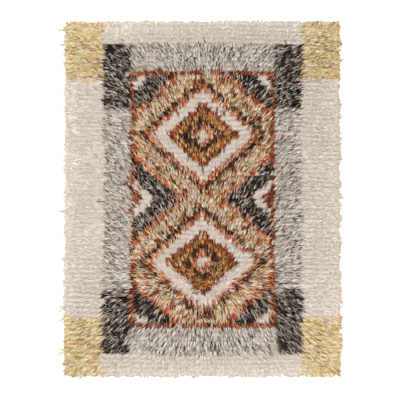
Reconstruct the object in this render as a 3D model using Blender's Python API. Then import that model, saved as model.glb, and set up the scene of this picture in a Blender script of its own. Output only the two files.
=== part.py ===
"""A rectangular shag rug of the rya kind, lying flat with its pile up.

The rug is one woven piece: wool knots stand in rows on a thin ground and lie over it far
enough to hide it. The solid has the form of the lying pile: a lumpy slab with a flat
underside, a rounded shoulder all round, and the locks that reach past the ground's edge and
rest on the floor. Metres, +Z up, the rug's length along Y, the origin at the middle of the
underside.
"""
import math
from collections import namedtuple

import bmesh
import bpy
from mathutils import Vector, noise

# Size over the locks at the rim
RUG_WIDTH = 1.410
RUG_LENGTH = 1.800

# How far the rim's locks reach past the slab, and how far their tips stray sideways
LOCK_MEAN_REACH = 0.019
LOCK_REACH_SWING = 0.008
COMB_SWING = 0.0030

# Heights over the floor
PILE_TOP = 0.027
RIM_HEIGHT = 0.010

# The shoulder is the stretch over which the pile comes down to its rim
SHOULDER = 0.075

# Lumps: broad ones where the pile has been trodden, and the soft steps of lying rows
LUMP_SWING = 0.0080
LUMP_PITCH = 0.150
TUFT_SWING = 0.0075
TUFT_PITCH = 0.085
STEP_SWING = 0.0018
STEP_PITCH = 0.125

# The rim is nearly straight, with slightly rounded corners
RIM_WAVER = 0.0035
RIM_WAVER_PITCH = 0.160
CORNER_PULL = 0.014
CORNER_SHARPNESS = 9

# Cells of the slab's top; each rim cell is halved, and three halves in four carry a lock
CELLS_ACROSS = 40
CELLS_ALONG = 51
HALVES_PER_GAP = 4

# A lock, section by section from its root to its tip
LockSection = namedtuple("LockSection", "reach_share width_share height_share")
LOCK_SECTIONS = (
    LockSection(reach_share=0.50, width_share=0.74, height_share=0.92),
    LockSection(reach_share=1.00, width_share=0.30, height_share=0.34),
)

# A side of the rug: its outward direction, the sideways comb of its tips, to the left as one
# looks outward, and how its locks reach against the mean
RugSide = namedtuple("RugSide", "outward comb reach_factor")
RUG_SIDES = (
    RugSide(outward=Vector((-1.0, 0.0, 0.0)), comb=0.004, reach_factor=1.0),
    RugSide(outward=Vector((1.0, 0.0, 0.0)), comb=0.003, reach_factor=1.0),
    RugSide(outward=Vector((0.0, 1.0, 0.0)), comb=0.000, reach_factor=0.9),
    RugSide(outward=Vector((0.0, -1.0, 0.0)), comb=0.000, reach_factor=1.2),
)

# Wool in the rug's mean colour, a warm sand
WOOL_COLOUR = (0.50, 0.40, 0.31, 1.0)
WOOL_ROUGHNESS = 0.95
SMOOTH_ANGLE = math.radians(60)


def clear_scene():
    """Remove whatever objects the scene starts with."""
    for thing in list(bpy.data.objects):
        bpy.data.objects.remove(thing, do_unlink=True)


def wool_material():
    """Return matt wool in the rug's mean colour."""
    material = bpy.data.materials.new("wool pile")
    material.use_nodes = True
    shader = material.node_tree.nodes["Principled BSDF"]
    shader.inputs["Base Color"].default_value = WOOL_COLOUR
    shader.inputs["Roughness"].default_value = WOOL_ROUGHNESS
    shader.inputs["Metallic"].default_value = 0.0
    return material


def waver(x, y, pitch, layer):
    """Return a smooth uneven value from -1 to 1, which changes over about one pitch."""
    return noise.noise(Vector((x / pitch, y / pitch, layer)))


def plan_point(x, y, half_width, half_length):
    """Return where a point of the even grid lies once the rim wavers and corners are round."""
    across = abs(x) / half_width
    along = abs(y) / half_length
    pull = 1.0 - CORNER_PULL * (across * along) ** CORNER_SHARPNESS
    shift_x = RIM_WAVER * waver(x, y, RIM_WAVER_PITCH, 3.1) * across
    shift_y = RIM_WAVER * waver(x, y, RIM_WAVER_PITCH, 7.7) * along
    return x * pull + shift_x, y * pull + shift_y


def pile_height(x, y, inset):
    """Return the pile's height where the rim is as far off as the inset."""
    rise = math.sin(0.5 * math.pi * min(1.0, inset / SHOULDER))
    lumps = LUMP_SWING * waver(x, y, LUMP_PITCH, 0.4)
    lumps += TUFT_SWING * waver(x, y, TUFT_PITCH, 5.2)
    lumps += STEP_SWING * math.sin(2.0 * math.pi * y / STEP_PITCH + 2.5 * waver(x, y, 0.4, 9.3))
    return RIM_HEIGHT + rise * (PILE_TOP - RIM_HEIGHT + lumps)


def lay_top(slab_mesh):
    """Make the lumpy top of the slab in the mesh."""
    half_width = 0.5 * RUG_WIDTH - LOCK_MEAN_REACH - LOCK_REACH_SWING
    half_length = 0.5 * RUG_LENGTH - LOCK_MEAN_REACH - LOCK_REACH_SWING
    bmesh.ops.create_grid(slab_mesh, x_segments=CELLS_ACROSS, y_segments=CELLS_ALONG, size=1.0)
    rim_edges = [edge for edge in slab_mesh.edges if edge.is_boundary]
    bmesh.ops.subdivide_edges(slab_mesh, edges=rim_edges, cuts=1)
    for vert in slab_mesh.verts:
        x = vert.co.x * half_width
        y = vert.co.y * half_length
        inset = min(half_width - abs(x), half_length - abs(y))
        height = pile_height(x, y, inset)
        vert.co = Vector((*plan_point(x, y, half_width, half_length), height))


def drop_rim(slab_mesh):
    """Bring the rim down to the floor, close the underside and return the rim's faces."""
    rim_edges = [edge for edge in slab_mesh.edges if edge.is_boundary]
    dropped = bmesh.ops.extrude_edge_only(slab_mesh, edges=rim_edges)["geom"]
    for vert in (item for item in dropped if isinstance(item, bmesh.types.BMVert)):
        vert.co.z = 0.0
    rim_faces = [item for item in dropped if isinstance(item, bmesh.types.BMFace)]
    floor_edges = [edge for edge in slab_mesh.edges if edge.is_boundary]
    underside = bmesh.ops.contextual_create(slab_mesh, geom=floor_edges)["faces"]
    bmesh.ops.triangulate(slab_mesh, faces=underside, ngon_method="BEAUTY")
    bmesh.ops.recalc_face_normals(slab_mesh, faces=slab_mesh.faces)
    return rim_faces


def rug_side(face):
    """Return the side of the rug that a face of the rim belongs to."""
    return max(RUG_SIDES, key=lambda side: side.outward.dot(face.normal))


def grow_lock(slab_mesh, root):
    """Draw one face of the rim out into a lock that tapers and rests on the floor."""
    side = rug_side(root)
    corners = [vert.co.copy() for vert in root.verts]
    middle = sum(corners, Vector()) / len(corners)
    middle.z = 0.0
    sideways = Vector((0.0, 0.0, 1.0)).cross(side.outward)
    root_height = max(corner.z for corner in corners)
    chance = waver(middle.x, middle.y, 0.013, 21.0)
    other_chance = waver(middle.x, middle.y, 0.017, 34.0)
    reach = (LOCK_MEAN_REACH + LOCK_REACH_SWING * chance) * side.reach_factor
    comb = side.comb + COMB_SWING * other_chance
    face = root
    for section in LOCK_SECTIONS:
        face = bmesh.ops.extrude_discrete_faces(slab_mesh, faces=[face])["faces"][0]
        centre = middle + section.reach_share * (reach * side.outward + comb * sideways)
        for vert, corner in zip(face.verts, corners):
            offset = (corner - middle).dot(sideways) * section.width_share
            level = root_height * section.height_share if corner.z > 0.0 else 0.0
            vert.co = centre + offset * sideways + Vector((0.0, 0.0, level))


def fit_to_size(slab_mesh):
    """Centre the rug on the origin and give it its exact width and length."""
    for axis, size in ((0, RUG_WIDTH), (1, RUG_LENGTH)):
        low = min(vert.co[axis] for vert in slab_mesh.verts)
        high = max(vert.co[axis] for vert in slab_mesh.verts)
        for vert in slab_mesh.verts:
            vert.co[axis] = (vert.co[axis] - 0.5 * (low + high)) * size / (high - low)


def rim_angle(face):
    """Return how far round the rug a face of the rim is, which puts the faces in order."""
    centre = face.calc_center_median()
    return math.atan2(centre.y / RUG_LENGTH, centre.x / RUG_WIDTH)


def build_rug(collection):
    """Make the rug as one object."""
    slab_mesh = bmesh.new()
    lay_top(slab_mesh)
    rim_faces = sorted(drop_rim(slab_mesh), key=rim_angle)
    for index, face in enumerate(rim_faces):
        if index % HALVES_PER_GAP:
            grow_lock(slab_mesh, face)
    fit_to_size(slab_mesh)
    bmesh.ops.recalc_face_normals(slab_mesh, faces=slab_mesh.faces)
    mesh = bpy.data.meshes.new("shag_rug")
    slab_mesh.to_mesh(mesh)
    slab_mesh.free()
    mesh.materials.append(wool_material())
    mesh.shade_smooth()
    mesh.set_sharp_from_angle(angle=SMOOTH_ANGLE)
    rug = bpy.data.objects.new("shag_rug", mesh)
    collection.objects.link(rug)
    return rug


def main():
    """Build the rug in a collection of its own."""
    clear_scene()
    collection = bpy.data.collections.new("rya rug")
    bpy.context.scene.collection.children.link(collection)
    build_rug(collection)


main()
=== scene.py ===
"""The looks of a rya rug that lies flat with its pile up.

The rug is knotted row by row on a woven ground. Each knot stands as six plied wool strands
of two shades, which come up out of the ground and lie over the rows beside them. The strands
are combed outward from a place below the rug's middle, so each side's reach past its edge.
Metres, +Z up, the rug's length along Y, as in the frame.
"""
import logging
import math
from dataclasses import dataclass, field, fields
from enum import Enum

import bmesh
import bpy
import numpy as np
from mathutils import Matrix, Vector, noise
from mathutils.bvhtree import BVHTree


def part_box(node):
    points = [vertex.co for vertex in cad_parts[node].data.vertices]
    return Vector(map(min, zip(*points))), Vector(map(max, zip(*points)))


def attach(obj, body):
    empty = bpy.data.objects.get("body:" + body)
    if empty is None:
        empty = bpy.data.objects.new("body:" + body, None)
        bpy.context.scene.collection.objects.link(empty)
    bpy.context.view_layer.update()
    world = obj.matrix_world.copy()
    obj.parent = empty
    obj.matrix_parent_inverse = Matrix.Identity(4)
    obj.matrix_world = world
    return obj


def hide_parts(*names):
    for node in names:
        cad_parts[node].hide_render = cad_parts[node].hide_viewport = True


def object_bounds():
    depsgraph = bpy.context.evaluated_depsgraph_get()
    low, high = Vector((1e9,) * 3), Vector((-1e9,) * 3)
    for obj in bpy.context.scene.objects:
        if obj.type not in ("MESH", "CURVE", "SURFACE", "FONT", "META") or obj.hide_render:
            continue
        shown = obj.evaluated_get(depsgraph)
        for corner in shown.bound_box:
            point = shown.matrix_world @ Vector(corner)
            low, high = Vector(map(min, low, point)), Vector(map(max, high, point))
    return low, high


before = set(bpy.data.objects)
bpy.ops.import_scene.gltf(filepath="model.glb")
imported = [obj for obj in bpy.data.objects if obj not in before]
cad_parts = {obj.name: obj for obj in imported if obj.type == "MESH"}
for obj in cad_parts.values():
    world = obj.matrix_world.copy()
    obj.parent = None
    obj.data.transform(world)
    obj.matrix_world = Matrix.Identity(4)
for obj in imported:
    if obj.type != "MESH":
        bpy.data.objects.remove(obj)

log = logging.getLogger("rya rug")

CAD_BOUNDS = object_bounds()
CAD_NODE = "shag_rug"
BODY = "root"
MILLIMETRE = 0.001
BAKE_MAP = "OFBake"

# How far inside the solid's edge the outermost knots are tied
KNOTS_INSET = 24.0 * MILLIMETRE

# How far past the knots the foot of the pile reaches, and the ground at its sides and ends
FOOT_OVERHANG = 11.0 * MILLIMETRE
GROUND_SELVEDGE = 1.0 * MILLIMETRE
GROUND_END = 4.0 * MILLIMETRE

# How much strands of one shade differ: undyed wool is more even than dyed
UNDYED_SWING = 0.03
DYED_SWING = 0.25

# Nearly all of a noise texture's values lie in this span
NOISE_SPAN = (0.3, 0.7)


def linear_colour(code: str) -> tuple[float, float, float, float]:
    """Turn an sRGB colour into linear light.

    Args:
        code: six hexadecimal digits.

    Returns:
        Red, green, blue and an alpha of 1.
    """
    channels = [int(code[start:start + 2], 16) / 255 for start in (0, 2, 4)]
    linear = [c / 12.92 if c <= 0.04045 else ((c + 0.055) / 1.055) ** 2.4 for c in channels]
    return (*linear, 1.0)


def add_node(tree: bpy.types.NodeTree, kind: str, settings: dict | None = None,
             inputs: dict | None = None) -> bpy.types.Node:
    """Add a node to a tree, with its settings and its links.

    Args:
        tree: the tree that takes the node.
        kind: the node's type.
        settings: the node's own properties.
        inputs: for a socket's name, identifier or number, a value or the output linked to it.

    Returns:
        The new node.
    """
    node = tree.nodes.new(kind)
    for name, value in (settings or {}).items():
        setattr(node, name, value)
    for key, value in (inputs or {}).items():
        if isinstance(key, int):
            socket = node.inputs[key]
        else:
            socket = next(s for s in node.inputs if s.enabled and key in (s.name, s.identifier))
        if isinstance(value, bpy.types.NodeSocket):
            tree.links.new(value, socket)
        else:
            socket.default_value = value
    return node


def used_output(node: bpy.types.Node) -> bpy.types.NodeSocket:
    """Return the output that a node uses with its present settings."""
    return next(socket for socket in node.outputs if socket.enabled)


def empty_material(name: str) -> bpy.types.Material:
    """Make a new material whose tree is still empty.

    Args:
        name: the material's name.

    Returns:
        The material.
    """
    material = bpy.data.materials.new(name)
    material.use_nodes = True
    material.node_tree.nodes.clear()
    return material


def place_object(name: str, data: bpy.types.ID) -> bpy.types.Object:
    """Put a mesh, a light or a camera into the scene.

    Args:
        name: the new object's name.
        data: the mesh, light or camera.

    Returns:
        The object.
    """
    thing = bpy.data.objects.new(name, data)
    bpy.context.scene.collection.objects.link(thing)
    return thing


def smooth_noise(x: np.ndarray, y: np.ndarray, pitch: float, seed: int) -> np.ndarray:
    """Return an even, smooth noise over the plan.

    Args:
        x: places across the rug, in metres.
        y: places along the rug, in metres.
        pitch: the distance over which the noise changes, in metres.
        seed: the number that fixes the noise.

    Returns:
        Values from -1 to 1.
    """
    size = 256
    lattice = np.random.default_rng(seed).uniform(-1.0, 1.0, (size, size))
    column, row = np.floor(x / pitch).astype(int), np.floor(y / pitch).astype(int)
    across, along = x / pitch - column, y / pitch - row
    across = across * across * (3.0 - 2.0 * across)
    along = along * along * (3.0 - 2.0 * along)
    near = lattice[row % size, column % size] * (1.0 - across)
    near += lattice[row % size, (column + 1) % size] * across
    far = lattice[(row + 1) % size, column % size] * (1.0 - across)
    far += lattice[(row + 1) % size, (column + 1) % size] * across
    return near * (1.0 - along) + far * along


def dress(piece: bpy.types.Object) -> None:
    """Make a finished piece ride on the rug, in the place of its solid.

    Args:
        piece: the piece.
    """
    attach(piece, BODY)
    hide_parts(CAD_NODE)
    log.info("%s: %d faces", piece.name, len(piece.data.polygons))


@dataclass(frozen=True)
class Shade:
    """One shade of yarn, with its share of a mix."""

    colour: str
    share: float


class Mix(Enum):
    """The mixes of yarn that the knots are made from, light to dark."""

    CREAM = (Shade("F2E8DD", 0.44), Shade("F0E1D6", 0.12), Shade("EADFD2", 0.28),
             Shade("E8DCCC", 0.16))
    STRAW = (Shade("FAEAC8", 0.17), Shade("F8DFAC", 0.38), Shade("F8D2AE", 0.17),
             Shade("DFBC72", 0.17), Shade("94763E", 0.11))
    SAND = (Shade("FFF4E4", 0.23), Shade("F6DAB0", 0.24), Shade("EEAC80", 0.14),
            Shade("D0A85C", 0.12), Shade("CE925A", 0.08), Shade("8A3C1A", 0.08),
            Shade("1C0D08", 0.11))
    GREY = (Shade("F8EEE1", 0.30), Shade("E8DCCE", 0.30), Shade("C0B3A6", 0.16),
            Shade("877A6F", 0.13), Shade("453A33", 0.11))
    CHARCOAL = (Shade("E2D3C5", 0.17), Shade("AC9A8B", 0.13), Shade("40332D", 0.08),
                Shade("0C0605", 0.62))
    OCHRE = (Shade("F6CE90", 0.22), Shade("D88A3A", 0.38), Shade("905020", 0.20),
             Shade("2A1408", 0.20))
    CORAL = (Shade("FCE2C0", 0.16), Shade("F0A274", 0.28), Shade("DA6234", 0.30),
             Shade("66220C", 0.17), Shade("1C0A04", 0.09))
    RUST = (Shade("EEB47C", 0.17), Shade("C8683A", 0.25), Shade("8E3416", 0.28),
            Shade("220A03", 0.30))
    UMBER = (Shade("D0A478", 0.16), Shade("7C4A2C", 0.22), Shade("28150C", 0.36),
             Shade("0E0603", 0.26))

    @classmethod
    def number(cls, mix: "Mix") -> int:
        """Return a mix's place in the list of mixes."""
        return list(cls).index(mix)


def yarn_colours(mixes: np.ndarray, roll: np.ndarray,
                 dice: np.random.Generator) -> np.ndarray:
    """Give each strand a shade of its knot's mix.

    Args:
        mixes: the number of each strand's mix.
        roll: the chance, from 0 to 1, that picks each strand's shade.
        dice: the source of the small differences within a shade.

    Returns:
        A row of red, green, blue and alpha in linear light for each strand.
    """
    total = mixes.size
    colours = np.ones((total, 4))
    for number, mix in enumerate(Mix):
        shades = mix.value
        edges = np.cumsum([shade.share for shade in shades])
        chosen = np.minimum(np.searchsorted(edges, roll), len(shades) - 1)
        table = np.array([linear_colour(shade.colour) for shade in shades])
        colours = np.where((mixes == number)[:, None], table[chosen], colours)
    swing = np.where(mixes == Mix.number(Mix.CREAM), UNDYED_SWING, DYED_SWING)
    colours[:, :3] *= (1.0 + swing * dice.normal(0.0, 1.0, total))[:, None]
    return np.clip(colours, 0.0, 1.0)


@dataclass(frozen=True)
class RyaPattern:
    """A traditional lozenge lattice, on a field framed by a band and a plain border."""

    half_width: float
    half_length: float
    side_border: float = 0.205
    end_border: float = 0.120
    corner_block: float = 0.300
    band: float = 0.138
    band_block: float = 0.320
    outline: float = 0.018
    lozenges: int = 2
    seed_pitch: float = 0.062
    seed_size: float = 0.011

    def mixes(self, x: np.ndarray, y: np.ndarray) -> np.ndarray:
        """Find which mix of yarn is knotted where.

        Args:
            x: the places across the rug, in metres.
            y: the places along it, in metres.

        Returns:
            The number of the mix at each place.
        """
        from_side, from_end = self.half_width - np.abs(x), self.half_length - np.abs(y)
        from_border = np.minimum(from_side - self.side_border, from_end - self.end_border)
        found = self.field_mixes(x, y)
        in_band = from_border < self.band
        found[in_band] = self.band_mixes(x, y)[in_band]
        found[from_border < 0.0] = Mix.number(Mix.CREAM)
        in_corner = (from_side < self.side_border) & (from_end < self.corner_block)
        found[in_corner] = Mix.number(Mix.STRAW)
        return found

    def band_mixes(self, x: np.ndarray, y: np.ndarray) -> np.ndarray:
        """Find the mixes of the band, grey with a dark block at each corner.

        Args:
            x: the places across the rug, in metres.
            y: the places along it, in metres.

        Returns:
            The number of the mix at each place.
        """
        from_side = self.half_width - np.abs(x) - self.side_border
        from_end = self.half_length - np.abs(y) - self.end_border
        in_block = (from_side < self.band) & (from_end < self.band_block)
        return np.where(in_block, Mix.number(Mix.CHARCOAL), Mix.number(Mix.GREY))

    def field_mixes(self, x: np.ndarray, y: np.ndarray) -> np.ndarray:
        """Find the mixes of the field, a lattice of nested lozenges on sand with seeds.

        Args:
            x: the places across the rug, in metres.
            y: the places along it, in metres.

        Returns:
            The number of the mix at each place.
        """
        field_half_width = self.half_width - self.side_border - self.band
        field_half_length = self.half_length - self.end_border - self.band
        found = np.full(x.shape, Mix.number(Mix.SAND))
        column, row = np.floor(x / self.seed_pitch), np.floor(y / self.seed_pitch)
        from_seed_x = x - (column + 0.5) * self.seed_pitch
        from_seed_y = y - (row + 0.5) * self.seed_pitch
        seeded = np.abs(from_seed_x) + np.abs(from_seed_y) < 2.0 * self.seed_size
        found[seeded & ((column + row) % 2 == 0)] = Mix.number(Mix.RUST)
        # Each lozenge is as wide as the field; halves and quarters of others fill its sides
        pitch = 2.0 * field_half_length / self.lozenges
        from_middle = np.abs((y / pitch) % 1.0 - 0.5) * 2.0
        ring = np.abs(x) / field_half_width + from_middle
        whole_rings = ((0.90, Mix.UMBER), (0.82, Mix.CORAL), (0.72, Mix.CREAM), (0.52, Mix.RUST),
                       (0.42, Mix.OCHRE), (0.32, Mix.UMBER), (0.20, Mix.CORAL), (0.09, Mix.CREAM))
        side_rings = ((0.78, Mix.CORAL), (0.68, Mix.CHARCOAL), (0.34, Mix.CREAM), (0.20, Mix.RUST))
        for reached, rings in ((ring, whole_rings), (2.0 - ring, side_rings)):
            for reach, mix in rings:
                found[reached < reach] = Mix.number(mix)
        from_field_edge = np.minimum(field_half_width - np.abs(x), field_half_length - np.abs(y))
        found[from_field_edge < self.outline] = Mix.number(Mix.RUST)
        return found


@dataclass(frozen=True)
class PileLay:
    """The way the pile is combed: outward from a line across the rug below its middle."""

    half_width: float
    half_length: float
    turn_y: float = -0.430
    turn_swing: float = 0.150
    across_strength: float = 1.8
    lower_strength: float = 1.25
    lower_fade: float = 0.55
    parting: float = 0.60
    end_splay: float = 3.0
    end_stretch: float = 0.060

    def angle(self, x: np.ndarray, y: np.ndarray) -> np.ndarray:
        """Return the direction in which strands lie, in radians from +X."""
        across, along = self.comb(x, y)
        return np.arctan2(along, across)

    def firmness(self, x: np.ndarray, y: np.ndarray) -> np.ndarray:
        """Return how firmly strands are combed, from 0 where the pile parts to 1."""
        across, along = self.comb(x, y)
        return np.clip(np.hypot(across, along) / self.parting, 0.0, 1.0)

    def comb(self, x: np.ndarray, y: np.ndarray) -> tuple[np.ndarray, np.ndarray]:
        """Find which way and how strongly the pile is combed.

        Args:
            x: the places across the rug, in metres.
            y: the places along it, in metres.

        Returns:
            The comb's pull across the rug and its pull along it.
        """
        across = x / self.half_width
        side = np.clip((y - self.turn_y) / self.turn_swing, -1.0, 1.0)
        upper = 1.0 - across**2
        lower = self.lower_strength * (1.0 - self.lower_fade * across**2)
        along = np.where(side > 0.0, side * upper, side * lower)
        # The last rows fall over the ends
        near_end = 1.0 - (self.half_length - np.abs(y)) / self.end_stretch
        along = along + np.sign(y) * self.end_splay * np.clip(near_end, 0.0, 1.0)
        return self.across_strength * across, along


class SlabTop:
    """The upper side of the rug's solid, which the pile's tips follow.

    Between and beside the locks at its rim, the height falls evenly to the floor.
    """

    RIM_HEIGHT = 0.0095
    LOCK_REACH = 0.027

    def __init__(self, solid: bpy.types.Object, pitch: float = 0.006) -> None:
        """Read the solid's height on an even grid.

        Args:
            solid: the rug's solid.
            pitch: the distance between two readings, in metres.
        """
        low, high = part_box(solid.name)
        self.pitch = pitch
        self.low = Vector(low)
        self.half_width, self.half_length = 0.5 * (high[0] - low[0]), 0.5 * (high[1] - low[1])
        tree = BVHTree.FromPolygons([v.co for v in solid.data.vertices],
                                    [p.vertices[:] for p in solid.data.polygons])
        columns = int((high[0] - low[0]) / pitch) + 2
        rows = int((high[1] - low[1]) / pitch) + 2
        down, above = Vector((0.0, 0.0, -1.0)), high[2] + pitch
        self.heights = np.zeros((rows, columns))
        for row in range(rows):
            for column in range(columns):
                start = Vector((low[0] + column * pitch, low[1] + row * pitch, above))
                hit = tree.ray_cast(start, down)[0]
                self.heights[row, column] = hit.z if hit else 0.0

    def height(self, x: np.ndarray, y: np.ndarray) -> np.ndarray:
        """Find the solid's height under each place, which is 0 beside it.

        Args:
            x: the places across the rug, in metres.
            y: the places along it, in metres.

        Returns:
            The heights over the floor, in metres.
        """
        inset = np.minimum(self.half_width - np.abs(x), self.half_length - np.abs(y))
        fall = self.RIM_HEIGHT * np.sqrt(np.clip(inset / self.LOCK_REACH, 0.0, 1.0))
        rows, columns = self.heights.shape
        across = np.clip((x - self.low.x) / self.pitch, 0.0, columns - 1.001)
        along = np.clip((y - self.low.y) / self.pitch, 0.0, rows - 1.001)
        column, row = across.astype(int), along.astype(int)
        u, v = across - column, along - row
        near = self.heights[row, column] * (1 - u) + self.heights[row, column + 1] * u
        far = self.heights[row + 1, column] * (1 - u) + self.heights[row + 1, column + 1] * u
        return np.maximum(near * (1 - v) + far * v, fall)


@dataclass(frozen=True)
class WoolYarn:
    """Plied wool rug yarn, spun and dyed: matt and soft, with a faint twist, and with painted shade
    that darkens each strand in its twist's groove, towards its root and on its flanks.
    """

    name: str = "plied wool pile yarn"
    roughness: float = 0.94
    sheen: float = 0.06
    gloss: float = 0.12
    twist_turns: float = 6.0
    # Painted shade: how dark the groove between the two plies is painted; the same twist also bumps
    # the surface
    twist_contrast: float = 0.16
    twist_depth: float = 0.5 * MILLIMETRE
    fibre_pitch: float = 9.0 * MILLIMETRE
    fibre_contrast: float = 0.18
    # Painted shade at each strand's root and on its flanks, and a painted warm tint where that
    # shade is deepest
    root_shade: float = 0.80
    flank_shade: float = 0.76
    deep_tint: str = "FFF8F1"
    depth_span: tuple[float, float] = (-0.5, 0.1)
    flank_span: tuple[float, float] = (-0.3, 0.8)
    relief_strength: float = 0.6

    def material(self) -> bpy.types.Material:
        """Make the yarn's material, which takes each strand's colour from its attribute.

        Returns:
            The material.
        """
        material = empty_material(self.name)
        tree = material.node_tree
        dyed = add_node(tree, "ShaderNodeAttribute", {"attribute_name": "yarn"})
        section = add_node(tree, "ShaderNodeAttribute", {"attribute_name": "section"})
        parts = add_node(tree, "ShaderNodeSeparateXYZ", {}, {0: section.outputs["Vector"]})
        # The twist: two plies with a groove between them, wound round the strand
        around = add_node(tree, "ShaderNodeMath", {"operation": "ARCTAN2"},
                          {0: parts.outputs["Y"], 1: parts.outputs["X"]})
        both_plies = add_node(tree, "ShaderNodeMath", {"operation": "MULTIPLY"},
                              {0: around.outputs[0], 1: 2.0})
        wound = add_node(tree, "ShaderNodeMath", {"operation": "MULTIPLY_ADD"},
                         {0: parts.outputs["Z"], 1: self.twist_turns * math.tau,
                          2: both_plies.outputs[0]})
        twist = add_node(tree, "ShaderNodeMath", {"operation": "SINE"}, {0: wound.outputs[0]})
        # Uneven spinning and dye, drawn coarser than they are, so that they show
        place = add_node(tree, "ShaderNodeTexCoord")
        fibres = add_node(tree, "ShaderNodeTexNoise", {},
                          {"Vector": place.outputs["Object"], "Scale": 1 / self.fibre_pitch,
                           "Detail": 2.0})
        # Painted shade: each strand's colour is darkened in its twist's groove, towards its root,
        # where the strands over it would shade it, and on its flanks, which lie against other
        # strands. The fibre noise among these is uneven spinning and dye.
        light = 1.0
        for value, span, darkest in (
                (twist.outputs[0], (-1.0, 1.0), 1.0 - self.twist_contrast),
                (fibres.outputs["Fac"], NOISE_SPAN, 1.0 - self.fibre_contrast),
                (parts.outputs["Z"], self.depth_span, self.root_shade),
                (parts.outputs["Y"], self.flank_span, self.flank_shade)):
            share = add_node(tree, "ShaderNodeMapRange", {},
                             {"Value": value, "From Min": span[0], "From Max": span[1],
                              "To Min": darkest, "To Max": 1.0})
            light = add_node(tree, "ShaderNodeMath", {"operation": "MULTIPLY"},
                             {0: light, 1: share.outputs[0]}).outputs[0]
        colour = add_node(tree, "ShaderNodeVectorMath", {"operation": "SCALE"},
                          {0: dyed.outputs["Color"], "Scale": light})
        # Painted warm light: where the painted shade is deepest the colour is warmed, as if by
        # light that has passed through wool between the strands
        tint = add_node(tree, "ShaderNodeMix", {"data_type": "RGBA"},
                        {"Factor": light, "A": linear_colour(self.deep_tint),
                         "B": (1.0, 1.0, 1.0, 1.0)})
        colour = add_node(tree, "ShaderNodeVectorMath", {"operation": "MULTIPLY"},
                          {0: colour.outputs[0], 1: used_output(tint)})
        relief = add_node(tree, "ShaderNodeBump", {},
                          {"Height": twist.outputs[0], "Strength": self.relief_strength,
                           "Distance": self.twist_depth})
        shader = add_node(tree, "ShaderNodeBsdfPrincipled", {},
                          {"Base Color": colour.outputs[0], "Roughness": self.roughness,
                           "Sheen Weight": self.sheen, "Specular IOR Level": self.gloss,
                           "Normal": relief.outputs[0]})
        add_node(tree, "ShaderNodeOutputMaterial", {}, {"Surface": shader.outputs[0]})
        return material


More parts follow.
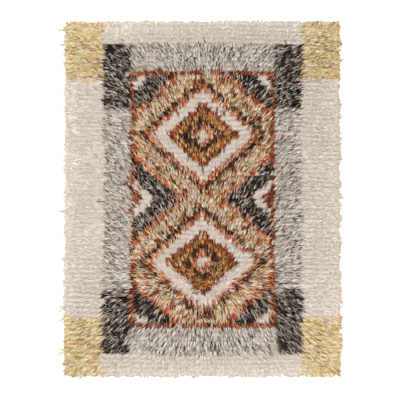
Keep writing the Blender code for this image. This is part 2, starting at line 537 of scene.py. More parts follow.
class StrandTree:
    """The node tree that turns each knot's points into bent, tapering strands.

    A point stands for one strand. Its attributes root, knee, crest and tip are the four control
    points of the curve that the strand follows, thick is its radius, yarn its colour and cell
    the corner of its patch on the bake map.
    """

    def __init__(self) -> None:
        """Make the empty tree and its named inputs."""
        self.tree = bpy.data.node_groups.new("knotted strands", "GeometryNodeTree")
        self.inputs = {}
        self.add_input("Geometry", "NodeSocketGeometry")
        self.add_input("Sides", "NodeSocketInt")
        self.add_input("Segments", "NodeSocketInt")
        self.add_input("Cell size", "NodeSocketVector")
        self.add_input("Wool", "NodeSocketMaterial")
        self.tree.interface.new_socket("Geometry", in_out="OUTPUT",
                                       socket_type="NodeSocketGeometry")
        self.build()

    def add_input(self, name: str, kind: str) -> None:
        """Add a named input and keep its identifier."""
        socket = self.tree.interface.new_socket(name, in_out="INPUT", socket_type=kind)
        self.inputs[name] = socket.identifier

    def follow(self, carried: dict[str, bpy.types.NodeSocket],
               share: bpy.types.NodeSocket) -> tuple[bpy.types.NodeSocket, bpy.types.NodeSocket]:
        """Follow the curve through a strand's four control points.

        Args:
            carried: for each control point, the output with its place.
            share: the output with the share of the way along the curve.

        Returns:
            The output with the place on the curve, and the one with its direction there.
        """
        # The lines between the points are divided until one place is left
        places = [carried[name] for name in ("root", "knee", "crest", "tip")]
        while len(places) > 1:
            behind, ahead = places[:2]
            lines, places = list(zip(places, places[1:])), []
            for start, end in lines:
                place = add_node(self.tree, "ShaderNodeMix", {"data_type": "VECTOR"},
                                 {"Factor": share, "A": start, "B": end})
                places.append(used_output(place))
        forward = add_node(self.tree, "ShaderNodeVectorMath", {"operation": "SUBTRACT"},
                           {0: ahead, 1: behind})
        forward = add_node(self.tree, "ShaderNodeVectorMath", {"operation": "NORMALIZE"},
                           {0: forward.outputs[0]})
        return places[0], forward.outputs[0]

    def build(self) -> None:
        """Add and link the tree's nodes."""
        tree = self.tree
        given = add_node(tree, "NodeGroupInput")
        tube = add_node(tree, "GeometryNodeMeshCylinder", {"fill_type": "NGON"},
                        {"Vertices": given.outputs["Sides"],
                         "Side Segments": given.outputs["Segments"],
                         "Radius": 1.0, "Depth": 1.0})
        # A quarter turn puts one edge of the section on top, so that light falls off to both sides
        turned = add_node(tree, "GeometryNodeTransform", {},
                          {"Geometry": tube.outputs["Mesh"],
                           "Rotation": (0.0, 0.0, 0.5 * math.pi)})
        place = add_node(tree, "GeometryNodeInputPosition")
        marked = add_node(tree, "GeometryNodeStoreNamedAttribute",
                          {"data_type": "FLOAT_VECTOR", "domain": "POINT"},
                          {"Geometry": turned.outputs[0], "Name": "section",
                           "Value": place.outputs[0]})
        mapped = add_node(tree, "GeometryNodeStoreNamedAttribute",
                          {"data_type": "FLOAT2", "domain": "CORNER"},
                          {"Geometry": marked.outputs[0], "Name": BAKE_MAP,
                           "Value": tube.outputs["UV Map"]})
        planted = add_node(tree, "GeometryNodeInstanceOnPoints", {},
                           {"Points": given.outputs["Geometry"], "Instance": mapped.outputs[0]})
        real = add_node(tree, "GeometryNodeRealizeInstances", {}, {0: planted.outputs[0]})
        carried = {}
        for name in ("section", "root", "knee", "crest", "tip", "cell", "thick", BAKE_MAP):
            kind = "FLOAT" if name == "thick" else "FLOAT_VECTOR"
            node = add_node(tree, "GeometryNodeInputNamedAttribute", {"data_type": kind},
                            {"Name": name})
            carried[name] = node.outputs["Attribute"]
        parts = add_node(tree, "ShaderNodeSeparateXYZ", {}, {0: carried["section"]})
        share = add_node(tree, "ShaderNodeMath", {"operation": "ADD"},
                         {0: parts.outputs["Z"], 1: 0.5}).outputs[0]
        centre, forward = self.follow(carried, share)
        # The section stands square to the curve
        span = add_node(tree, "ShaderNodeVectorMath", {"operation": "SUBTRACT"},
                        {0: carried["tip"], 1: carried["root"]})
        side = add_node(tree, "ShaderNodeVectorMath", {"operation": "CROSS_PRODUCT"},
                        {0: (0.0, 0.0, 1.0), 1: span.outputs[0]})
        side = add_node(tree, "ShaderNodeVectorMath", {"operation": "NORMALIZE"},
                        {0: side.outputs[0]})
        upward = add_node(tree, "ShaderNodeVectorMath", {"operation": "CROSS_PRODUCT"},
                          {0: forward, 1: side.outputs[0]})
        across = add_node(tree, "ShaderNodeVectorMath", {"operation": "SCALE"},
                          {0: side.outputs[0], "Scale": parts.outputs["X"]})
        above = add_node(tree, "ShaderNodeVectorMath", {"operation": "SCALE"},
                         {0: upward.outputs[0], "Scale": parts.outputs["Y"]})
        around = add_node(tree, "ShaderNodeVectorMath", {"operation": "ADD"},
                          {0: across.outputs[0], 1: above.outputs[0]})
        taper = add_node(tree, "ShaderNodeFloatCurve", {}, {"Value": share})
        for point, (at, width) in zip(taper.mapping.curves[0].points, ((0.0, 0.75), (1.0, 0.50))):
            point.location = (at, width)
        for at, width in ((0.35, 1.0), (0.80, 0.95)):
            taper.mapping.curves[0].points.new(at, width)
        taper.mapping.update()
        radius = add_node(tree, "ShaderNodeMath", {"operation": "MULTIPLY"},
                          {0: taper.outputs[0], 1: carried["thick"]})
        offset = add_node(tree, "ShaderNodeVectorMath", {"operation": "SCALE"},
                          {0: around.outputs[0], "Scale": radius.outputs[0]})
        settled = add_node(tree, "ShaderNodeVectorMath", {"operation": "ADD"},
                           {0: centre, 1: offset.outputs[0]})
        bent = add_node(tree, "GeometryNodeSetPosition", {},
                        {"Geometry": real.outputs[0], "Position": settled.outputs[0]})
        # Each strand gets a patch of its own on the bake map
        patch = add_node(tree, "ShaderNodeVectorMath", {"operation": "MULTIPLY_ADD"},
                         {0: carried[BAKE_MAP], 1: given.outputs["Cell size"],
                          2: carried["cell"]})
        cleaned = add_node(tree, "GeometryNodeStoreNamedAttribute",
                           {"data_type": "FLOAT2", "domain": "CORNER"},
                           {"Geometry": bent.outputs[0], "Name": BAKE_MAP,
                            "Value": patch.outputs[0]})
        for name in ("root", "knee", "crest", "tip", "thick", "cell"):
            cleaned = add_node(tree, "GeometryNodeRemoveAttribute", {},
                               {"Geometry": cleaned.outputs[0], "Name": name})
        smooth = add_node(tree, "GeometryNodeSetShadeSmooth", {}, {"Geometry": cleaned.outputs[0]})
        dressed = add_node(tree, "GeometryNodeSetMaterial", {},
                           {"Geometry": smooth.outputs[0], "Material": given.outputs["Wool"]})
        add_node(tree, "NodeGroupOutput", {}, {0: dressed.outputs[0]})


@dataclass(frozen=True)
class Cut:
    """How unevenly a side of the pile is cut: how deep its waves are and how long."""

    waver: float
    pitch: float


@dataclass(frozen=True)
class Bend:
    """A control point of a strand: its share of the way to the tip and of the pile's height."""

    name: str
    share: float
    height: float
    sways: bool = False


@dataclass(frozen=True)
class Unevenness:
    """How unevenly hands have knotted and combed the pile, in metres, radians and shares."""

    knot_shift: float = 0.0015
    strand_shift: float = 0.0008
    row_waver: float = 0.0034
    row_waver_pitch: float = 0.10
    lay_turn: float = 0.14
    lay_pitch: float = 0.060
    knot_turn: float = 0.09
    strand_turn: float = 0.21
    parting_turn: float = 0.9
    miscount: float = 0.004
    stray_share: float = 0.08
    stray_shift: float = 0.030
    shade: float = 0.14
    reach: float = 0.11
    tip_pull: float = 0.0022
    tip_pitch: float = 0.022
    sway: float = 0.0022
    lift: tuple[float, float] = (0.90, 1.05)
    thickness: tuple[float, float] = (0.82, 1.12)


@dataclass
class Knots:
    """The rug's knots, each an entry in every array."""

    row: np.ndarray
    column: np.ndarray
    x: np.ndarray
    y: np.ndarray
    angle: np.ndarray
    firm: np.ndarray
    mixes: np.ndarray

    def repeated(self, times: int) -> "Knots":
        """Return the same knots, each as often as it has strands."""
        return Knots(*(np.repeat(getattr(self, part.name), times) for part in fields(self)))


@dataclass
class Roots:
    """Where the strands come up and which way they lie, each an entry in every array."""

    x: np.ndarray
    y: np.ndarray
    angle: np.ndarray
    firm: np.ndarray
    off_knot: np.ndarray
    off_row: np.ndarray
    beside: np.ndarray


@dataclass
class KnottedPile:
    """The knotted wool pile, built course by course from the lower end to the upper one."""

    pattern: RyaPattern
    lay: PileLay
    top: SlabTop
    rooted_half_width: float
    rooted_half_length: float
    row_pitch: float = 0.0227
    knot_pitch: float = 0.0100
    shade_step: float = 0.7549
    yarns_per_knot: int = 2
    strands_per_knot: int = 6
    strand_radius: float = 0.0020
    strand_reach: float = 0.0258
    shown_share: float = 0.55
    long_reach: float = 0.010
    long_from: float = -0.25
    long_run: float = 0.25
    parting_reach: float = 0.84
    side_stretch: float = 0.12
    side_tuck: float = 0.011
    rim_width: float = 0.030
    rim_stretch: float = 0.38
    rim_spread: float = 0.0035
    edge_reach: float = 0.0015
    cut_swing: float = 0.0028
    cut_share: float = 0.85
    left_cut: Cut = Cut(waver=0.0095, pitch=0.022)
    right_cut: Cut = Cut(waver=0.0185, pitch=0.032)
    end_cut: Cut = Cut(waver=0.0085, pitch=0.022)
    long_end_share: float = 0.006
    long_end_stretch: float = 1.45
    long_end_cut_share: float = 0.10
    frayed_share: float = 0.07
    frayed_reach: float = 0.020
    row_spread: float = 0.0080
    knot_grip: float = 0.50
    row_grip: float = 0.20
    root_height: float = 0.003
    root_rise: float = 0.36
    rim_height: float = 0.010
    row_drop: float = 0.08
    parting_drop: float = 0.22
    floor_gap: float = 0.0006
    bends: tuple[Bend, ...] = (Bend("knee", 0.08, 0.90), Bend("crest", 0.52, 1.12, sways=True),
                               Bend("tip", 1.0, 0.94))
    # The tint of the outermost ends of the right side
    dust_tint: str = "EADED1"
    sides: int = 3
    segments: int = 2
    courses: int = 6
    seed: int = 7
    patch_margin: float = 0.05
    patch_aspect: float = 2.3
    uneven: Unevenness = Unevenness()
    wool: WoolYarn = field(default_factory=WoolYarn)

    def rows(self) -> int:
        """Return how many rows of knots the rug has."""
        return int(2 * self.rooted_half_length / self.row_pitch)

    def row_step(self) -> float:
        """Return the distance from one row of knots to the next."""
        return 2 * self.rooted_half_length / (self.rows() - 1)

    def knots(self, dice: np.random.Generator) -> Knots:
        """Tie the knots row by row, alternate rows half a knot apart.

        Args:
            dice: the source of their unevenness.

        Returns:
            The knots.
        """
        uneven = self.uneven
        rows, columns = self.rows(), int(2 * self.rooted_half_width / self.knot_pitch)
        row, column = np.meshgrid(np.arange(rows), np.arange(columns), indexing="ij")
        row, column = row.ravel(), column.ravel()
        count = row.size
        x = (column + 0.5 + 0.25 * (-1.0) ** row) / columns * 2 - 1
        x = x * self.rooted_half_width + dice.uniform(-uneven.knot_shift, uneven.knot_shift, count)
        y = (row / (rows - 1) * 2 - 1) * self.rooted_half_length
        y = y + uneven.row_waver * smooth_noise(x, y, uneven.row_waver_pitch, 3)
        firm = self.lay.firmness(x, y)
        angle = self.lay.angle(x, y)
        angle = angle + uneven.lay_turn * smooth_noise(x, y, uneven.lay_pitch, 11)
        turn = uneven.knot_turn + uneven.parting_turn * (1.0 - firm)
        angle = angle + dice.normal(0.0, 1.0, count) * turn
        # A knotter miscounts by a knot here and there, and some knots are of a neighbour's mix
        shown = self.shown_share * self.strand_reach * firm
        strays = dice.random(count) < uneven.stray_share
        stray = np.where(strays, uneven.stray_shift, uneven.miscount)
        mixes = self.pattern.mixes(
            x + shown * np.cos(angle) + stray * dice.normal(0.0, 1.0, count),
            y + shown * np.sin(angle) + stray * dice.normal(0.0, 1.0, count))
        return Knots(row, column, x, y, angle, firm, mixes)

    def shade_rolls(self, knots: Knots, dice: np.random.Generator) -> np.ndarray:
        """Choose the shades. A knot's yarns lie side by side and differ in shade.

        Args:
            knots: the knots.
            dice: the source of the choice's unevenness.

        Returns:
            For each strand the number from 0 to 1 that picks its shade.
        """
        each, yarns = self.strands_per_knot, self.yarns_per_knot
        yarn = np.arange(knots.row.size * each) * yarns // each % yarns
        turn = np.repeat(knots.column * self.shade_step + knots.row * self.shade_step**2, each)
        loose = dice.uniform(-self.uneven.shade, self.uneven.shade, knots.row.size * yarns)
        return (turn + yarn / yarns + np.repeat(loose, each // yarns)) % 1.0

    def roots(self, tied: Knots, angle: np.ndarray, dice: np.random.Generator) -> Roots:
        """Set the strands of each knot side by side, before and behind their row.

        Args:
            tied: the knots, each as often as it has strands.
            angle: the direction in which each strand lies.
            dice: the source of their unevenness.

        Returns:
            The strands' roots.
        """
        each, total, shift = self.strands_per_knot, tied.row.size, self.uneven.strand_shift
        place = np.tile(np.arange(each), total // each) - (each - 1) / 2
        off_knot = place * self.knot_pitch / each
        x = tied.x + off_knot + dice.uniform(-shift, shift, total)
        off_row = dice.uniform(-1.0, 1.0, total)
        beside = np.clip(1.0 - (self.rooted_half_width - np.abs(x)) / self.rim_width, 0.0, 1.0)
        y = tied.y + (self.row_spread + self.rim_spread * beside) * off_row
        return Roots(x, y, angle, tied.firm, off_knot, off_row, beside)

    def reach(self, roots: Roots, dice: np.random.Generator) -> np.ndarray:
        """Work out how far each strand reaches, which is farther towards the lower end.

        Args:
            roots: the strands' roots.
            dice: the source of the reach's unevenness.

        Returns:
            The reach of each strand over the rug, in metres.
        """
        lower = np.clip((self.long_from - roots.y) / self.long_run, 0.0, 1.0)
        reach = self.strand_reach + self.long_reach * lower
        reach = reach * dice.normal(1.0, self.uneven.reach, roots.x.size)
        reach = reach * (self.parting_reach + (1.0 - self.parting_reach) * roots.firm)
        reach = reach * (1.0 + self.side_stretch * np.cos(roots.angle) ** 2)
        return reach * (1.0 + self.rim_stretch * roots.beside)

    def tips(self, knots: Knots, roots: Roots,
             dice: np.random.Generator) -> tuple[np.ndarray, np.ndarray]:
        """Lay the strands down and trim them.

        Args:
            knots: the knots.
            roots: the strands' roots.
            dice: the source of their unevenness.

        Returns:
            The places of the tips across and along the rug.
        """
        uneven, reach = self.uneven, self.reach(roots, dice)
        # A few ends escaped the shears, and on the left side a few knots are frayed
        long_end = dice.random(roots.x.size) < self.long_end_share
        frayed = (knots.column == 0) & (dice.random(knots.row.size) < self.frayed_share)
        frayed = np.repeat(frayed, self.strands_per_knot)
        reach = np.where(long_end, self.long_end_stretch * reach, reach)
        reach = reach + np.where(frayed, self.frayed_reach, 0.0)
        x = roots.x + reach * np.cos(roots.angle) - self.knot_grip * roots.off_knot
        y = roots.y + reach * np.sin(roots.angle) - self.row_grip * self.row_spread * roots.off_row
        # Tips draw together into locks
        x = x + uneven.tip_pull * smooth_noise(x, y, uneven.tip_pitch, 21)
        y = y + uneven.tip_pull * smooth_noise(x, y, uneven.tip_pitch, 22)
        tuck = self.side_tuck * np.abs(roots.off_row) * roots.beside
        share = np.where(long_end | frayed, self.long_end_cut_share, self.cut_share)
        return self.trimmed(x, y, tuck, share, dice)

    def bent(self, roots: Roots, tip_x: np.ndarray, tip_y: np.ndarray,
             dice: np.random.Generator) -> dict[str, np.ndarray]:
        """Bend the strands over, from their roots to their tips.

        Args:
            roots: the strands' roots.
            tip_x: the places of the tips across the rug.
            tip_y: their places along it.
            dice: the source of their unevenness.

        Returns:
            For each control point, an array with a place for each strand.
        """
        total = roots.x.size
        lift = dice.uniform(*self.uneven.lift, total) - self.row_drop * np.abs(roots.off_row)
        lift = lift - self.parting_drop * (1.0 - roots.firm) * dice.random(total)
        # Roots start a little under the foot's surface, which hides them
        inside = np.maximum(self.top.height(roots.x, roots.y) - self.rim_height, 0.0)
        root_z = self.root_height + self.root_rise * inside
        points = {"root": np.stack([roots.x, roots.y, root_z], axis=1)}
        sway = dice.normal(0.0, self.uneven.sway, (total, 2))
        for bend in self.bends:
            x = roots.x + bend.share * (tip_x - roots.x)
            y = roots.y + bend.share * (tip_y - roots.y)
            if bend.sways:
                x, y = x + sway[:, 0], y + sway[:, 1]
            z = self.top.height(x, y) * bend.height * lift
            z = np.maximum(z, self.strand_radius + self.floor_gap)
            points[bend.name] = np.stack([x, y, z], axis=1)
        return points

    def strands(self) -> dict[str, np.ndarray]:
        """Work out every strand of the rug.

        Returns:
            For each attribute of a strand, an array with a row for each strand.
        """
        dice = np.random.default_rng(self.seed)
        knots = self.knots(dice)
        tied = knots.repeated(self.strands_per_knot)
        total = tied.row.size
        turn = self.uneven.strand_turn + self.uneven.parting_turn * (1.0 - tied.firm)
        angle = tied.angle + dice.normal(0.0, 1.0, total) * turn
        roll = self.shade_rolls(knots, dice)
        roots = self.roots(tied, angle, dice)
        tip_x, tip_y = self.tips(knots, roots, dice)
        strands = self.bent(roots, tip_x, tip_y, dice)
        strands["thick"] = self.strand_radius * dice.uniform(*self.uneven.thickness, total)
        colours = yarn_colours(tied.mixes, roll, dice)
        # The outermost ends of the right side are tinted darker and browner
        right_rim_share = np.where(roots.x > 0.0, roots.beside**2, 0.0)[:, None]
        strands["yarn"] = colours * (1.0 + right_rim_share * (np.array(linear_colour(self.dust_tint)) - 1.0))
        strands["course"] = tied.row * self.courses // self.rows()
        return strands

    def trimmed(self, x: np.ndarray, y: np.ndarray, tuck: np.ndarray, share: np.ndarray,
                dice: np.random.Generator) -> tuple[np.ndarray, np.ndarray]:
        """Trim tips that reach past the rug's edge, unevenly, as shears do.

        Args:
            x: the tips' places across the rug.
            y: their places along it.
            tuck: how far inside the edge each strand ends, in metres.
            share: how much of what reaches past the edge is cut off each strand.
            dice: the source of the cut's unevenness.

        Returns:
            The places to which the tips are cut back.
        """
        found = []
        for place, other, edge, low_cut, high_cut, seed in (
                (x, y, self.pattern.half_width, self.left_cut, self.right_cut, 31),
                (y, x, self.pattern.half_length, self.end_cut, self.end_cut, 32)):
            low = low_cut.waver * smooth_noise(place * 0.0, other, low_cut.pitch, seed)
            high = high_cut.waver * smooth_noise(place * 0.0, other, high_cut.pitch, seed)
            limit = edge + self.edge_reach + np.where(place < 0.0, low, high)
            limit = limit + dice.normal(0.0, self.cut_swing, place.size) - tuck
            over = np.maximum(np.abs(place) - limit, 0.0)
            found.append(np.sign(place) * (np.abs(place) - share * over))
        return found[0], found[1]

    def build(self) -> list[bpy.types.Object]:
        """Make the pile.

        Returns:
            A piece for each course.
        """
        strands = self.strands()
        tree, wool = StrandTree(), self.wool.material()
        course = strands.pop("course")
        pieces = []
        for number in range(self.courses):
            chosen = {name: values[course == number] for name, values in strands.items()}
            pieces.append(self.course_piece(f"pile_course_{number + 1}", chosen, tree, wool))
        return pieces

    def course_piece(self, name: str, strands: dict[str, np.ndarray], tree: StrandTree,
                     wool: bpy.types.Material) -> bpy.types.Object:
        """Make the strands of one course as a plain mesh.

        Args:
            name: the piece's name.
            strands: for each attribute of a strand, an array with a row for each strand.
            tree: the node tree that makes strands from points.
            wool: the strands' material.

        Returns:
            The piece.
        """
        total = len(strands["thick"])
        columns = math.ceil(math.sqrt(self.patch_aspect * total))
        rows = math.ceil(total / columns)
        index, margin = np.arange(total), self.patch_margin
        cell = np.zeros((total, 3))
        cell[:, 0] = (index % columns + margin) / columns
        cell[:, 1] = (index // columns + margin) / rows
        points = bpy.data.meshes.new(name + " points")
        points.from_pydata([tuple(place) for place in strands["root"]], [], [])
        vectors = {part: strands[part] for part in ("root", "knee", "crest", "tip")}
        layers = [(part, places, "FLOAT_VECTOR", "vector") for part, places in vectors.items()]
        layers += [("cell", cell, "FLOAT_VECTOR", "vector"),
                   ("thick", strands["thick"], "FLOAT", "value"),
                   ("yarn", strands["yarn"], "FLOAT_COLOR", "color")]
        for attribute, values, kind, part in layers:
            layer = points.attributes.new(attribute, kind, "POINT")
            layer.data.foreach_set(part, np.ascontiguousarray(values, dtype=np.float32).ravel())
        carrier = place_object(name + " points", points)
        modifier = carrier.modifiers.new("strands", "NODES")
        modifier.node_group = tree.tree
        modifier[tree.inputs["Sides"]] = self.sides
        modifier[tree.inputs["Segments"]] = self.segments
        modifier[tree.inputs["Cell size"]] = ((1 - 2 * margin) / columns,
                                              (1 - 2 * margin) / rows, 0.0)
        modifier[tree.inputs["Wool"]] = wool
        evaluated = carrier.evaluated_get(bpy.context.evaluated_depsgraph_get())
        mesh = bpy.data.meshes.new_from_object(evaluated)
        mesh.name = name
        bpy.data.objects.remove(carrier)
        bpy.data.meshes.remove(points)
        return place_object(name, mesh)


@dataclass(frozen=True)
class KnotFinish:
    """The dense foot of the pile: the same wool deeper down, streaked the way it is combed."""

    name: str = "knotted wool foot"
    roughness: float = 0.97
    gloss: float = 0.1
    comb_centre: tuple[float, float, float] = (0.0, -0.30, 0.0)
    streaks_per_radian: float = 420.0
    streak_length: float = 12.0 * MILLIMETRE
    streak_contrast: float = 0.26
    streak_depth: float = 3.0 * MILLIMETRE
    relief_strength: float = 0.8
    # Painted shade: the foot's colour is scaled down to this at most, for the pile above it
    shade: float = 0.88

    def material(self) -> bpy.types.Material:
        """Make the material, which takes its colour from the yarns knotted there.

        Returns:
            The material.
        """
        material = empty_material(self.name)
        tree = material.node_tree
        dyed = add_node(tree, "ShaderNodeAttribute", {"attribute_name": "yarn"})
        place = add_node(tree, "ShaderNodeTexCoord")
        # Streaks that run the way the pile is combed, like strands deeper down
        away = add_node(tree, "ShaderNodeVectorMath", {"operation": "SUBTRACT"},
                        {0: place.outputs["Object"], 1: self.comb_centre})
        distance = add_node(tree, "ShaderNodeVectorMath", {"operation": "LENGTH"},
                            {0: away.outputs[0]})
        heading = add_node(tree, "ShaderNodeVectorMath", {"operation": "NORMALIZE"},
                           {0: away.outputs[0]})
        turned = add_node(tree, "ShaderNodeVectorMath", {"operation": "MULTIPLY"},
                          {0: heading.outputs[0],
                           1: (self.streaks_per_radian, self.streaks_per_radian, 0.0)})
        along = add_node(tree, "ShaderNodeMath", {"operation": "DIVIDE"},
                         {0: distance.outputs["Value"], 1: self.streak_length})
        along = add_node(tree, "ShaderNodeCombineXYZ", {}, {"Z": along.outputs[0]})
        streak = add_node(tree, "ShaderNodeVectorMath", {"operation": "ADD"},
                          {0: turned.outputs[0], 1: along.outputs[0]})
        streaks = add_node(tree, "ShaderNodeTexNoise", {},
                           {"Vector": streak.outputs[0], "Scale": 1.0, "Detail": 3.0})
        # Painted shade: the colour is scaled down to shade for the pile over the foot, and further
        # in the streaks, partly painted shade in their hollows and partly the tone of the strands
        # they stand for
        light = add_node(tree, "ShaderNodeMapRange", {},
                         {"Value": streaks.outputs["Fac"], "From Min": NOISE_SPAN[0],
                          "From Max": NOISE_SPAN[1],
                          "To Min": self.shade - self.streak_contrast, "To Max": self.shade})
        colour = add_node(tree, "ShaderNodeVectorMath", {"operation": "SCALE"},
                          {0: dyed.outputs["Color"], "Scale": light.outputs[0]})
        relief = add_node(tree, "ShaderNodeBump", {},
                          {"Height": streaks.outputs["Fac"], "Strength": self.relief_strength,
                           "Distance": self.streak_depth})
        shader = add_node(tree, "ShaderNodeBsdfPrincipled", {},
                          {"Base Color": colour.outputs[0], "Roughness": self.roughness,
                           "Specular IOR Level": self.gloss, "Normal": relief.outputs[0]})
        add_node(tree, "ShaderNodeOutputMaterial", {}, {"Surface": shader.outputs[0]})
        return material


@dataclass
class PileFoot:
    """The dense foot of the pile, where the strands stand too close for light to pass."""

    pattern: RyaPattern
    top: SlabTop
    half_width: float
    half_length: float
    row_step: float
    points_per_row: int = 3
    point_pitch: float = 0.011
    share_of_height: float = 0.62
    row_swing: float = 0.0010
    nub_swing: float = 0.0016
    nub_pitch: float = 0.012
    # Painted shade on dyed yarn, painted fill light on undyed yarn, and a painted warm tint for the
    # foot
    dyed_shade: float = 0.80
    undyed_shade: float = 1.04
    deep_tint: str = "FFFCF8"
    shoulder: float = 0.030
    edge_height: float = 0.0040
    edge_waver: float = 0.0022
    base_height: float = 0.0034
    waver_pitch: float = 0.014
    seed: int = 19
    finish: KnotFinish = field(default_factory=KnotFinish)

    def build(self) -> bpy.types.Object:
        """Make the foot as one closed mesh.

        Returns:
            The piece.
        """
        shape = bmesh.new()
        self.lay_top(shape)
        self.close(shape)
        mesh = bpy.data.meshes.new("pile_foot")
        shape.to_mesh(mesh)
        shape.free()
        mesh.shade_smooth()
        self.dye(mesh)
        mesh.materials.append(self.finish.material())
        return place_object("pile_foot", mesh)

    def lay_top(self, shape: bmesh.types.BMesh) -> None:
        """Make the foot's upper side, a grid that follows the rows of knots.

        Args:
            shape: the empty mesh that takes it.
        """
        columns = int(2 * self.half_width / self.point_pitch)
        rows = int(2 * self.half_length / self.row_step) * self.points_per_row
        bmesh.ops.create_grid(shape, x_segments=columns, y_segments=rows, size=1.0)
        for vert in shape.verts:
            vert.co.x *= self.half_width
            vert.co.y *= self.half_length
        places = np.array([vert.co for vert in shape.verts])
        heights = self.heights(places[:, 0], places[:, 1])
        for vert, height in zip(shape.verts, heights):
            vert.co.z = height

    def close(self, shape: bmesh.types.BMesh) -> None:
        """Make the rim waver, bring it down and close the underside.

        Args:
            shape: the mesh with the foot's upper side.
        """
        rim = [edge for edge in shape.edges if edge.is_boundary]
        for vert in {vert for edge in rim for vert in edge.verts}:
            pull = self.edge_waver * (noise.noise(vert.co / self.waver_pitch) - 0.5)
            inward = Vector((-math.copysign(pull, vert.co.x), -math.copysign(pull, vert.co.y), 0.0))
            vert.co -= inward
        dropped = bmesh.ops.extrude_edge_only(shape, edges=rim)["geom"]
        for vert in (item for item in dropped if isinstance(item, bmesh.types.BMVert)):
            vert.co.z = self.base_height
        bmesh.ops.contextual_create(shape, geom=[e for e in shape.edges if e.is_boundary])
        bmesh.ops.recalc_face_normals(shape, faces=shape.faces)

    def dye(self, mesh: bpy.types.Mesh) -> None:
        """Give the foot the colours of the yarns knotted there, with painted shade, painted fill
        light and a painted warm tint.

        Args:
            mesh: the finished mesh.
        """
        points = np.zeros(len(mesh.vertices) * 3)
        mesh.vertices.foreach_get("co", points)
        points = points.reshape(-1, 3)
        dice = np.random.default_rng(self.seed)
        mixes = self.pattern.mixes(points[:, 0], points[:, 1])
        colours = yarn_colours(mixes, dice.random(mixes.size), dice)
        # Painted shade and painted fill light: at the foot dyed yarn is darkened and undyed yarn a
        # little lightened, and all of it warmed by the painted warm tint
        undyed = mixes == Mix.number(Mix.CREAM)
        colours[:, :3] *= np.where(undyed, self.undyed_shade, self.dyed_shade)[:, None]
        colours *= linear_colour(self.deep_tint)
        layer = mesh.attributes.new("yarn", "FLOAT_COLOR", "POINT")
        layer.data.foreach_set("color", colours.astype(np.float32).ravel())

    def heights(self, x: np.ndarray, y: np.ndarray) -> np.ndarray:
        """Work out the foot's height, which rises from its edge, with a soft ridge at each row.

        Args:
            x: the places across the rug, in metres.
            y: the places along it, in metres.

        Returns:
            The heights over the floor, in metres.
        """
        inset = np.minimum(self.half_width - np.abs(x), self.half_length - np.abs(y))
        rise = np.sin(0.5 * np.pi * np.clip(inset / self.shoulder, 0.0, 1.0))
        full = self.share_of_height * self.top.height(x, y)
        full = full + self.row_swing * np.cos(2 * np.pi * y / self.row_step)
        full = full + self.nub_swing * smooth_noise(x, y, self.nub_pitch, 51)
        return self.edge_height + rise * np.maximum(full - self.edge_height, 0.0)


@dataclass(frozen=True)
class GroundFinish:
    """Ribbed ground cloth: undyed warp packed over by a grey-brown wool weft."""

    name: str = "ribbed wool ground weave"
    weft: str = "A08C76"
    # The weft's colour where the weave is low, painted darker as shade in its hollows
    weft_dark: str = "7E6B58"
    roughness: float = 0.95
    gloss: float = 0.1
    rib_pitch: float = 5.0 * MILLIMETRE
    weft_pitch: float = 2.5 * MILLIMETRE
    weave_depth: float = 0.8 * MILLIMETRE
    relief_strength: float = 0.6
    patches_per_metre: float = 60.0

    def material(self) -> bpy.types.Material:
        """Make the cloth's material, with ribs along the rug and picks of weft across it.

        Returns:
            The material.
        """
        material = empty_material(self.name)
        tree = material.node_tree
        place = add_node(tree, "ShaderNodeTexCoord")
        parts = add_node(tree, "ShaderNodeSeparateXYZ", {}, {0: place.outputs["Object"]})
        # Each rib is a warp cord with the weft over it; alternate picks pass over alternate ribs
        weave = 1.0
        for way, pitch in (("X", self.rib_pitch), ("Y", self.weft_pitch)):
            turn = add_node(tree, "ShaderNodeMath", {"operation": "MULTIPLY"},
                            {0: parts.outputs[way], 1: math.pi / pitch})
            wave = add_node(tree, "ShaderNodeMath", {"operation": "SINE"}, {0: turn.outputs[0]})
            weave = add_node(tree, "ShaderNodeMath", {"operation": "MULTIPLY"},
                             {0: weave, 1: wave.outputs[0]}).outputs[0]
        height = add_node(tree, "ShaderNodeMath", {"operation": "ABSOLUTE"}, {0: weave})
        uneven = add_node(tree, "ShaderNodeTexNoise", {},
                          {"Vector": place.outputs["Object"], "Scale": self.patches_per_metre,
                           "Detail": 4.0})
        # Painted shade: the weft is darker where the weave is low, between ribs and picks, and
        # uneven in tone where the noise is low
        tone = add_node(tree, "ShaderNodeMath", {"operation": "MULTIPLY"},
                        {0: height.outputs[0], 1: uneven.outputs["Fac"]})
        tone = add_node(tree, "ShaderNodeMapRange", {},
                        {"Value": tone.outputs[0], "From Min": 0.0, "From Max": 0.5})
        colour = add_node(tree, "ShaderNodeMix", {"data_type": "RGBA"},
                          {"Factor": tone.outputs[0], "A": linear_colour(self.weft_dark),
                           "B": linear_colour(self.weft)})
        relief = add_node(tree, "ShaderNodeBump", {},
                          {"Height": height.outputs[0], "Strength": self.relief_strength,
                           "Distance": self.weave_depth})
        shader = add_node(tree, "ShaderNodeBsdfPrincipled", {},
                          {"Base Color": used_output(colour), "Roughness": self.roughness,
                           "Specular IOR Level": self.gloss, "Normal": relief.outputs[0]})
        add_node(tree, "ShaderNodeOutputMaterial", {}, {"Surface": shader.outputs[0]})
        return material


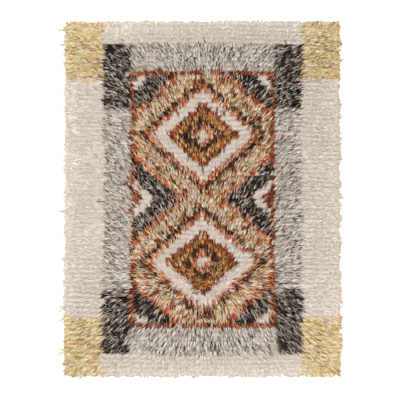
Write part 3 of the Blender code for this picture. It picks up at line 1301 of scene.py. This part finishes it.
@dataclass
class GroundWeave:
    """The woven ground: one cloth whose two ends are turned under as hems."""

    half_width: float
    half_length: float
    thickness: float = 0.0018
    hem: float = 0.028
    hem_gap: float = 0.0003
    floor_gap: float = 0.0002
    turn_steps: int = 5
    crease: float = math.radians(50)
    cells_across: int = 40
    cells_along: int = 50
    finish: GroundFinish = field(default_factory=GroundFinish)

    def profile(self) -> list[tuple[float, float]]:
        """Draw the cloth's middle line from one turned end to the other.

        Returns:
            The line's places, each along the rug and over the floor.
        """
        low = 0.5 * self.thickness + self.floor_gap
        gap = self.thickness + self.hem_gap
        radius = 0.5 * gap
        end = self.half_length - radius - 0.5 * self.thickness
        half = [(end - self.hem, low), (end - 0.5 * self.hem, low)]
        for step in range(self.turn_steps + 1):
            angle = math.pi * (step / self.turn_steps - 0.5)
            half.append((end + radius * math.cos(angle), low + radius + radius * math.sin(angle)))
        half.append((end - 0.5 * self.hem, low + gap))
        half.append((end - self.hem, low + gap))
        inner = end - 2.0 * self.hem
        across = [(inner * (1.0 - 2.0 * step / self.cells_along), low)
                  for step in range(self.cells_along + 1)]
        return half + across + [(-y, z) for y, z in reversed(half)]

    def build(self) -> bpy.types.Object:
        """Make the cloth by sweeping its profile across the rug and giving it its thickness.

        Returns:
            The piece.
        """
        line = self.profile()
        shape = bmesh.new()
        bmesh.ops.create_grid(shape, x_segments=self.cells_across, y_segments=len(line) - 1,
                              size=1.0)
        for vert in shape.verts:
            place = round((vert.co.y + 1.0) / 2.0 * (len(line) - 1))
            y, z = line[place]
            vert.co = Vector((vert.co.x * self.half_width, y, z))
        bmesh.ops.recalc_face_normals(shape, faces=shape.faces)
        mesh = bpy.data.meshes.new("ground_weave")
        shape.to_mesh(mesh)
        shape.free()
        cloth = place_object("ground_weave flat", mesh)
        wall = cloth.modifiers.new("thickness", "SOLIDIFY")
        wall.thickness = self.thickness
        wall.offset = 0.0
        evaluated = cloth.evaluated_get(bpy.context.evaluated_depsgraph_get())
        finished = bpy.data.meshes.new_from_object(evaluated)
        finished.name = "ground_weave"
        bpy.data.objects.remove(cloth)
        bpy.data.meshes.remove(mesh)
        finished.shade_smooth()
        finished.set_sharp_from_angle(angle=self.crease)
        finished.materials.append(self.finish.material())
        return place_object("ground_weave", finished)


@dataclass(frozen=True)
class Softbox:
    """A square area light that faces the rug's middle."""

    name: str
    place: tuple[float, float, float]
    energy: float
    size: float

    def build(self) -> None:
        """Hang the light."""
        light = bpy.data.lights.new(self.name, "AREA")
        light.shape = "SQUARE"
        light.size = self.size
        light.energy = self.energy
        lamp = place_object(self.name, light)
        lamp.location = self.place
        lamp.rotation_euler = (-Vector(self.place)).to_track_quat("-Z", "Y").to_euler()


@dataclass
class Studio:
    """A plain pale floor, soft light and a camera that looks straight down on the rug."""

    floor_half_size: float = 30.0
    floor_gap: float = 0.0006
    floor_colour: str = "F6F5F3"
    frame_pixels: float = 400.0
    rug_width_pixels: float = 279.0
    rug_middle_pixels: tuple[float, float] = (202.6, 198.7)
    lens: float = 100.0
    sensor: float = 36.0
    world_strength: float = 1.13
    softboxes: tuple[Softbox, ...] = (
        Softbox("upper left key", (-2.0, 1.1, 3.6), 90.0, 1.3),
        Softbox("lower right fill", (1.8, -1.6, 3.8), 92.0, 1.3),
    )

    def build(self) -> None:
        """Set the stage."""
        self.floor()
        self.lights()
        self.camera()
        scene = bpy.context.scene
        scene.view_settings.view_transform = "Standard"

    def floor(self) -> None:
        """Lay a matt pale floor under the rug."""
        shape = bmesh.new()
        bmesh.ops.create_grid(shape, x_segments=1, y_segments=1, size=self.floor_half_size)
        bmesh.ops.translate(shape, verts=shape.verts, vec=(0.0, 0.0, -self.floor_gap))
        mesh = bpy.data.meshes.new("floor")
        shape.to_mesh(mesh)
        shape.free()
        material = bpy.data.materials.new("matt white paper")
        material.use_nodes = True
        shader = material.node_tree.nodes["Principled BSDF"]
        shader.inputs["Base Color"].default_value = linear_colour(self.floor_colour)
        shader.inputs["Roughness"].default_value = 1.0
        mesh.materials.append(material)
        floor = place_object("floor", mesh)

    def lights(self) -> None:
        """Light the rug from all round and, for the strands' relief, from two sides."""
        world = bpy.data.worlds.new("white room")
        world.use_nodes = True
        background = world.node_tree.nodes["Background"]
        background.inputs["Color"].default_value = (1.0, 1.0, 1.0, 1.0)
        background.inputs["Strength"].default_value = self.world_strength
        bpy.context.scene.world = world
        for softbox in self.softboxes:
            softbox.build()

    def camera(self) -> None:
        """Look straight down, with the rug as wide and as far off centre as in the photograph."""
        width = CAD_BOUNDS[1][0] - CAD_BOUNDS[0][0]
        pixel = width / self.rug_width_pixels
        pile_top = CAD_BOUNDS[1][2]
        lens = bpy.data.cameras.new("camera")
        lens.lens = self.lens
        lens.sensor_width = self.sensor
        lens.clip_end = 100.0
        camera = place_object("camera", lens)
        middle = 0.5 * self.frame_pixels
        camera.location = ((middle - self.rug_middle_pixels[0]) * pixel,
                           (self.rug_middle_pixels[1] - middle) * pixel,
                           0.5 * pile_top + self.frame_pixels * pixel * self.lens / self.sensor)
        bpy.context.scene.camera = camera


def main() -> None:
    """Build the rug piece by piece, and the studio round it."""
    logging.basicConfig(level=logging.INFO, format="%(name)s: %(message)s")
    low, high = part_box(CAD_NODE)
    half_width, half_length = 0.5 * (high[0] - low[0]), 0.5 * (high[1] - low[1])
    top = SlabTop(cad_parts[CAD_NODE])
    pattern = RyaPattern(half_width, half_length)
    lay = PileLay(half_width, half_length)
    rooted_half_width, rooted_half_length = half_width - KNOTS_INSET, half_length - KNOTS_INSET
    pile = KnottedPile(pattern, lay, top, rooted_half_width, rooted_half_length)
    foot = PileFoot(pattern, top, rooted_half_width + FOOT_OVERHANG,
                    rooted_half_length + FOOT_OVERHANG, pile.row_step())
    ground = GroundWeave(rooted_half_width + GROUND_SELVEDGE, rooted_half_length + GROUND_END)
    knotted = [*pile.build(), foot.build()]
    cloth = ground.build()
    for piece in (*knotted, cloth):
        dress(piece)
    Studio().build()


if __name__ == "__main__":
    main()
